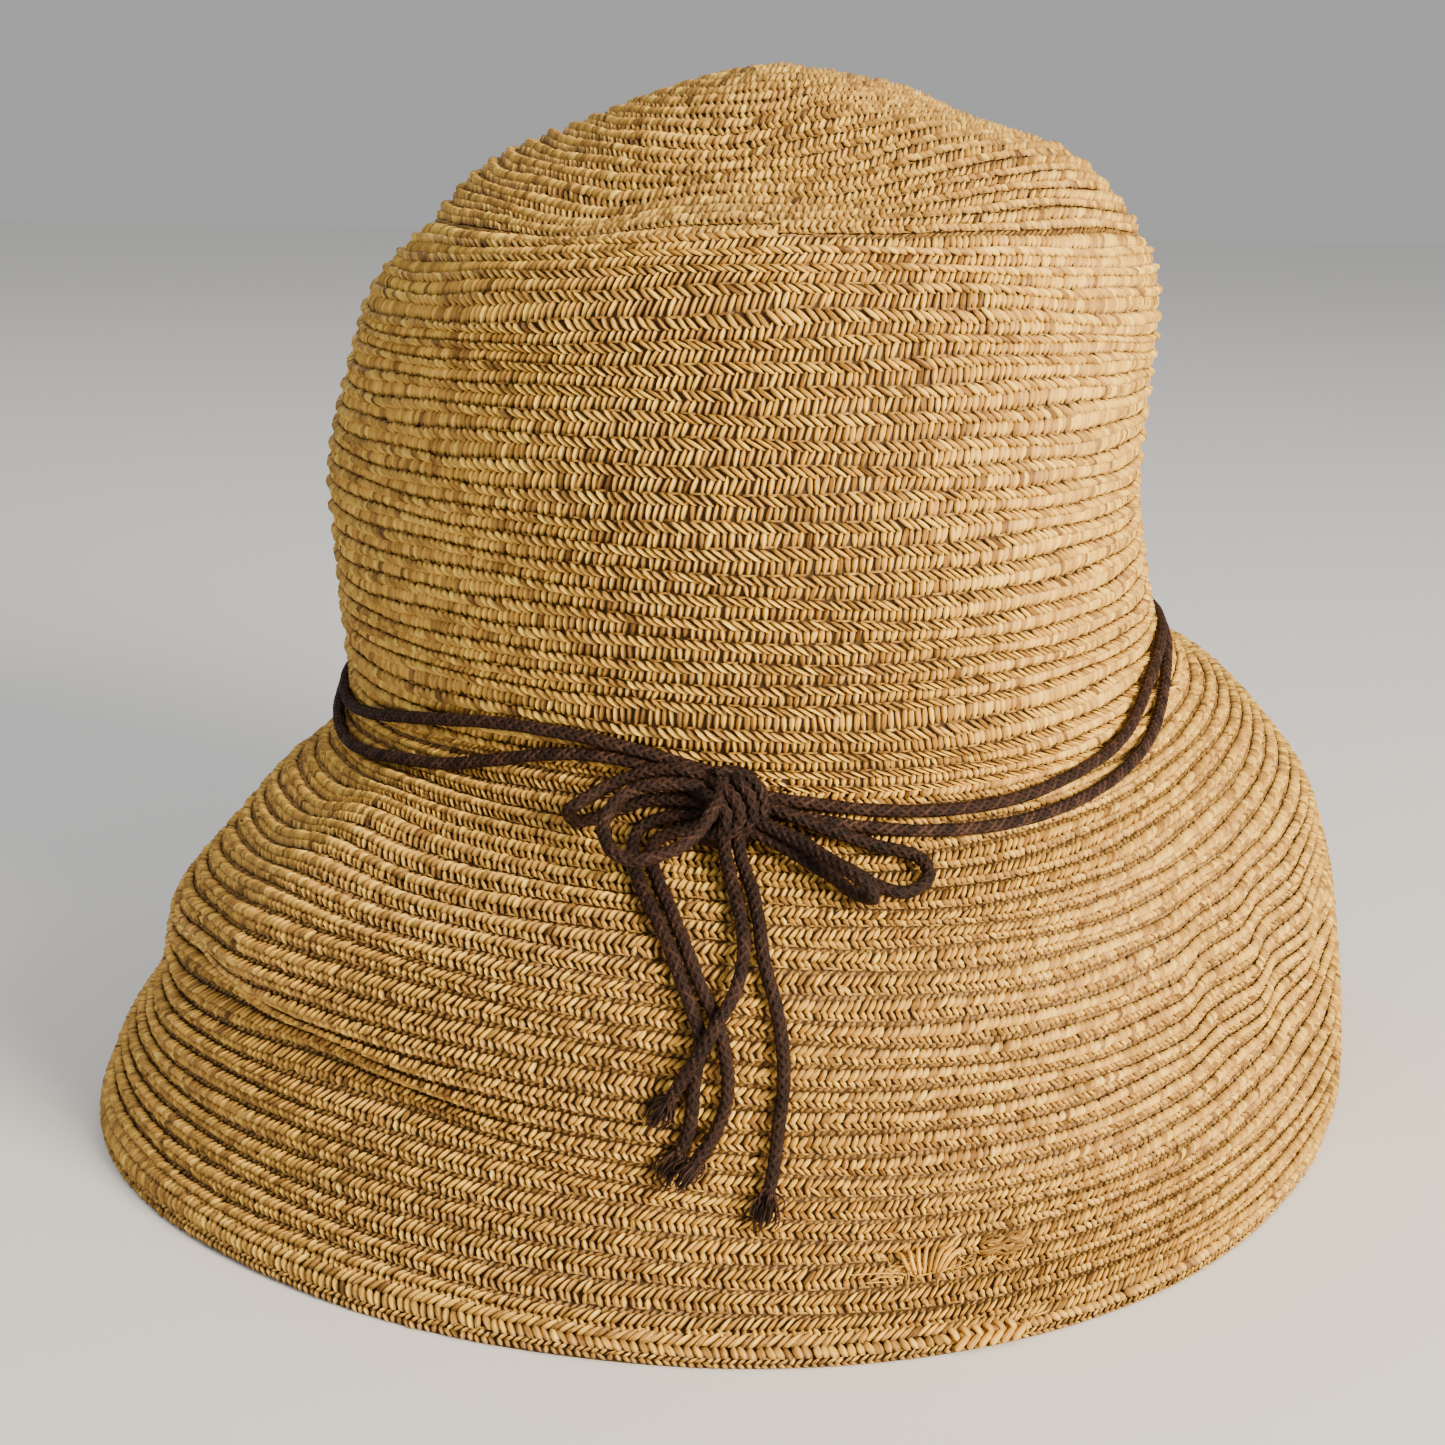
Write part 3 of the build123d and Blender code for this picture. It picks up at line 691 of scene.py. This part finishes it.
upright = []
for i in range(8):
    foot, fan = FAN_FOOT + 0.36 * i, 0.14 * (i - 3.5)
    tall = 1.25 - 0.10 * abs(i - 3.5)
    stops = (
        (foot, FAN_ROW, 1.2),
        (foot - 0.35 + fan, FAN_ROW + tall * 0.35, 3.2),
        (foot - 0.30 + fan * 2, FAN_ROW + tall * 0.75, 3.5),
        (foot + 0.2 + fan * 3, FAN_ROW + 0.05 + tall, 1.3),
    )
    upright.append(straw_end(stops, 0.40, rng.uniform(0.1, 0.8)))
bent_stops = ((282.6, -21.5, 1.6), (283.1, -21.0, 3.4), (283.8, -20.8, 3.6))
upright.append(straw_end(bent_stops, 0.28, 0.7))
upright += stray_fibres(34, (279.4, -22.2, 1.6), (0.9, 0.2, 0.4), (1.1, 0.3, 0.7))
upright += stray_fibres(14, (284.0, -22.2, 1.6), (0.8, 0.2, 0.4), (0.9, 0.2, 0.5))
bundle = []
for i in range(9):
    row = BUNDLE_ROW + 0.10 * i + rng.normal(0, 0.04)
    wave = 0.18 * (-1) ** i * rng.uniform(0.6, 1.4)
    start = BUNDLE_FOOT + rng.normal(0, 0.3)
    stops = (
        (start, row, 1.0),
        (start + 0.9, row + wave, rng.uniform(2.0, 3.2)),
        (start + 1.9, row - wave, 1.5),
        (start + 2.8, row + wave, rng.uniform(2.2, 3.4)),
        (start + 3.7, row, 1.1),
    )
    bundle.append(straw_end(stops, 0.33, rng.uniform(0.0, 0.75)))
bundle += stray_fibres(26, (288.0, -22.0, 1.8), (1.3, 0.3, 0.5), (0.9, 0.4, 0.6))
last_end = []
for i in range(6):
    foot = LAST_FOOT + 0.95 * i
    for low, high, lean in ((-25.95, -25.45, 0.8), (-25.5, -24.95, -0.8)):
        middle = (foot + lean * 0.5, (low + high) / 2, 2.6)
        stops = ((foot, low, 1.2), middle, (foot + lean, high, 1.2))
        last_end.append(straw_end(stops, 0.62, rng.uniform(0.45, 0.85)))
last_end += stray_fibres(22, (290.6, -25.5, 1.4), (0.4, 0.2, 0.4), (0.8, 0.3, 0.6))
ENDS = (("braid_splice_1", upright), ("braid_splice_2", bundle), ("braid_end", last_end))
for name, parts in ENDS:
    ends = mesh_object(name + "_straws", parts, [straw])
    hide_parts(name)

# ---- the cord round the crown --------------------------------------------------------
# Two turns of the same cord, from the knot round the left, the back and the right side.
# Each stop is degrees round the hat and a height in mm, and the cord lies on the braid.
CORD_OUT = 2.9
UPPER_TURN = (
    (262, 92.0), (255, 95.8), (249, 97.0), (242, 97.2), (235, 96.9), (228, 95.6),
    (220, 93.4), (211, 90.4), (202, 88.0), (192, 88.2), (180, 89.4), (166, 91.2),
    (151, 93.2), (136, 95.3), (121, 97.4), (106, 99.0), (91, 100.4), (76, 101.4),
    (61, 102.1), (46, 102.5), (31, 102.6), (16, 102.2), (3, 101.2), (351, 99.2),
    (340, 94.8), (329, 90.2), (319, 87.0), (309, 84.5), (299, 82.6), (290, 81.8),
    (281, 82.5), (273, 84.5), (266, 86.8),
)
LOWER_TURN = (
    (262, 88.6), (256, 92.2), (250, 93.8), (243, 92.8), (236, 89.0), (228, 85.2),
    (220, 83.2), (212, 81.9), (204, 81.3), (197, 83.2), (190, 85.2), (180, 86.4),
    (166, 88.2), (151, 90.2), (136, 92.3), (121, 94.4), (106, 96.0), (91, 97.4),
    (76, 98.4), (61, 99.1), (46, 99.5), (31, 99.6), (16, 99.1), (3, 97.4),
    (352, 94.6), (342, 90.4), (331, 85.6), (321, 82.2), (311, 79.9), (301, 78.5),
    (292, 78.2), (283, 79.1), (275, 81.0), (267, 83.6),
)


def on_wall(stops, out):
    """Points out from the hat's wall, at stops of (degrees, height)."""
    rows = np.linspace(-9, 9, 400)
    made = []
    for degrees, height in stops:
        turn = math.radians(degrees)
        heights = block_point(rows, np.full(len(rows), turn))[:, 2]
        row = np.interp(height, heights, rows)
        made.append(hat_point(np.array([row]), np.array([turn]), np.array([out]))[0])
    return made


for name, stops in (("cord_turn_upper", UPPER_TURN), ("cord_turn_lower", LOWER_TURN)):
    parts, _ = braided_cord(on_wall(stops, CORD_OUT))
    turn_cord = mesh_object(name + "_cord", parts, [waxed_cotton])
    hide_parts(name)

# ---- bow knot ------------------------------------------------------------------------
# The bight of the bow: the cord wrapped over itself and pulled down on the two loops.
KNOT_CENTRE = np.array([-9.5, -91.5, 86.5])
WRAPS = (
    (
        (-1, 1, 5.5), (1.5, -2.2, 6), (4.2, -4.0, 3.6), (5.0, -4.6, 0),
        (3.4, -4.8, -3.4), (0, -3.6, -6), (-2.5, -0.5, -6.2),
    ),
    (
        (-3.5, 0.5, 4.8), (-1, -3.2, 5.2), (2.0, -5.4, 2.8), (2.8, -6.0, -0.4),
        (1.0, -5.6, -3.6), (-2, -3.6, -5.8), (-4.4, -0.5, -5.6),
    ),
    (
        (-5.6, 0.5, 2.8), (-3.4, -3.6, 3.6), (-0.2, -6.0, 1.6), (0.4, -6.4, -1.2),
        (-1.6, -5.2, -3.8), (-4.4, -2.6, -4.6), (-6, 0, -3.6),
    ),
    (
        (-2, -1, 6.4), (1.6, 0.4, 7.0), (5.6, -0.6, 4.6), (7.0, -1.6, 0.6),
        (5.4, -2, -3.6), (2, -1, -6.4), (-1.4, 0, -7),
    ),
)
HEART_FOOT, HEART_TOP, HEART_RADIUS = [0, 0.5, -5.5], [0, 0.5, 5.5], 4.6
parts = []
for wrap in WRAPS:
    more, _ = braided_cord([KNOT_CENTRE + np.array(point, float) for point in wrap], -0.1)
    parts += more
heart_line = KNOT_CENTRE + np.linspace(HEART_FOOT, HEART_TOP, 9)
heart_size = HEART_RADIUS * np.sqrt(np.clip(1 - np.linspace(-1, 1, 9) ** 2, 0.02, 1))
heart, faces, _, _ = tube_grid(heart_line, heart_size, 16)
# The heart in the middle of the wraps is given the darkest tone, as painted shade between them.
parts.append((heart, faces, 0, 0.1, 0.0, 0.0, None))
knot = mesh_object("bow_knot_wraps", parts, [waxed_cotton])
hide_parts("bow_knot")

# ---- floor and light -----------------------------------------------------------------
# A white paper floor, a soft light from the front right, a weak bounce from the left and a
# broad light overhead.
FLOOR_SIZE = 8
LIGHT_AIM = Vector((0, 0, 0.1))
WORLD_STRENGTH = 0.42
bpy.ops.mesh.primitive_plane_add(size=FLOOR_SIZE)
floor = bpy.context.object
floor.name = "floor"
paper, tree, shader = new_material("white_paper", 0.9)
shader.inputs["Base Color"].default_value = colour("#f4f3f1")
floor.data.materials.append(paper)


def area_light(name, place, size, watts, code):
    """A square light of this size in metres, aimed at the middle of the hat."""
    light = bpy.data.lights.new(name, "AREA")
    light.size = size
    light.energy = watts
    light.color = colour(code)[:3]
    made = bpy.data.objects.new(name, light)
    bpy.context.scene.collection.objects.link(made)
    made.location = place
    aim = LIGHT_AIM - Vector(place)
    made.rotation_euler = aim.to_track_quat("-Z", "Y").to_euler()


area_light("window", (0.95, -1.1, 0.6), 0.6, 54, "#fff0d6")
area_light("wall_bounce", (-1.2, -0.8, 0.6), 1.4, 1, "#eaf1ff")
area_light("ceiling", (0.0, 0.2, 1.8), 2.4, 12, "#ffffff")
world = bpy.data.worlds.new("studio")
world.use_nodes = True
background = world.node_tree.nodes["Background"]
background.inputs["Color"].default_value = colour("#ffffff")
background.inputs["Strength"].default_value = WORLD_STRENGTH
bpy.context.scene.world = world

# ---- hidden parts and the frame ------------------------------------------------------
# The ribbed ribbon inside the crown, and the plastic wire and sleeve inside the hem.
ribbon, tree, shader = new_material("ribbed_ribbon", 0.8)
inputs = {"Vector": object_place(tree), "Scale": 260.0}
ribs = add_node(tree, "ShaderNodeTexWave", inputs, bands_direction="Z").outputs["Fac"]
cream = ramp(tree, ribs, ((0.0, "#b9a684"), (1.0, "#e2d4b4")))
tree.links.new(cream, shader.inputs["Base Color"])
roughen(tree, shader, ribs, 0.6, 0.0003)
plastic, tree, shader = new_material("drawn_plastic_wire", 0.35)
cloudy = ramp(tree, noise(tree, 400.0), ((0.3, "#d2ccbe"), (0.7, "#e4dfd4")))
tree.links.new(cloudy, shader.inputs["Base Color"])
HIDDEN = (("sweatband", ribbon), ("brim_edge_wire", plastic), ("wire_joiner_sleeve", plastic))
for name, finish in HIDDEN:
    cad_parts[name].data.materials.clear()
    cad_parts[name].data.materials.append(finish)
